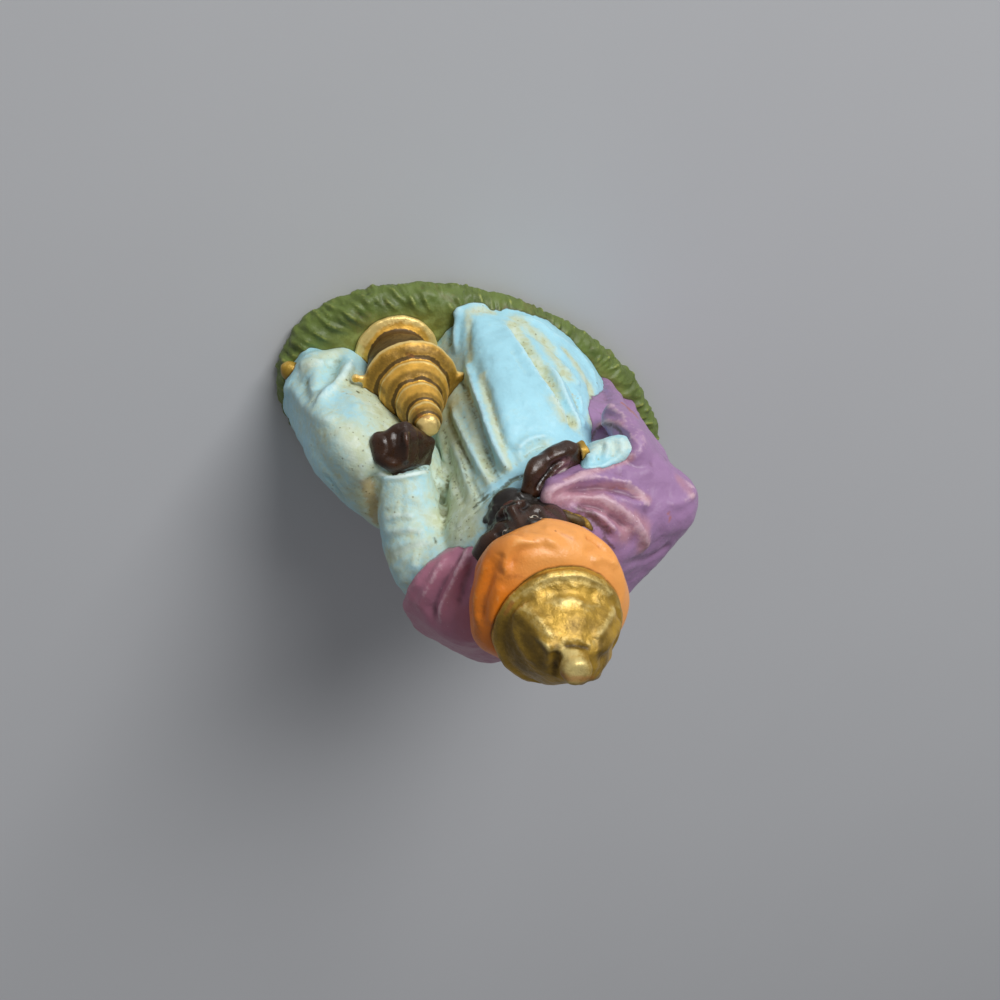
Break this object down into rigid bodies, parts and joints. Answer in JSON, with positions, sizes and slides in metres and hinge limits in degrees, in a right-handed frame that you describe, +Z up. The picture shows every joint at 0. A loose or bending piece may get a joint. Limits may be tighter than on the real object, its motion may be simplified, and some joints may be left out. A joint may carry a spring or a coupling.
{
  "type": "kneeling king nativity figure",
  "caption": "Small painted cast figure of a king in turban and cloak, kneeling on an oval grass base with a covered gold vessel before him.",
  "frame": {"origin": "middle of the flat underside of the oval base, which is also the middle of the figure's box seen from above", "axes": "+X along the length of the base, from the trailing hem toward the raised knee; +Z up; the figure looks between +X and -Y"},
  "size_m": [0.0919, 0.0548, 0.0879],
  "materials": {
    "painted_casting": "hand-painted satin over terracotta, antiqued in the hollows and dry-brushed on the ridges"
  },
  "bodies": {
    "root": {"kneeling_king": "painted_casting"}
  },
  "joints": []
}
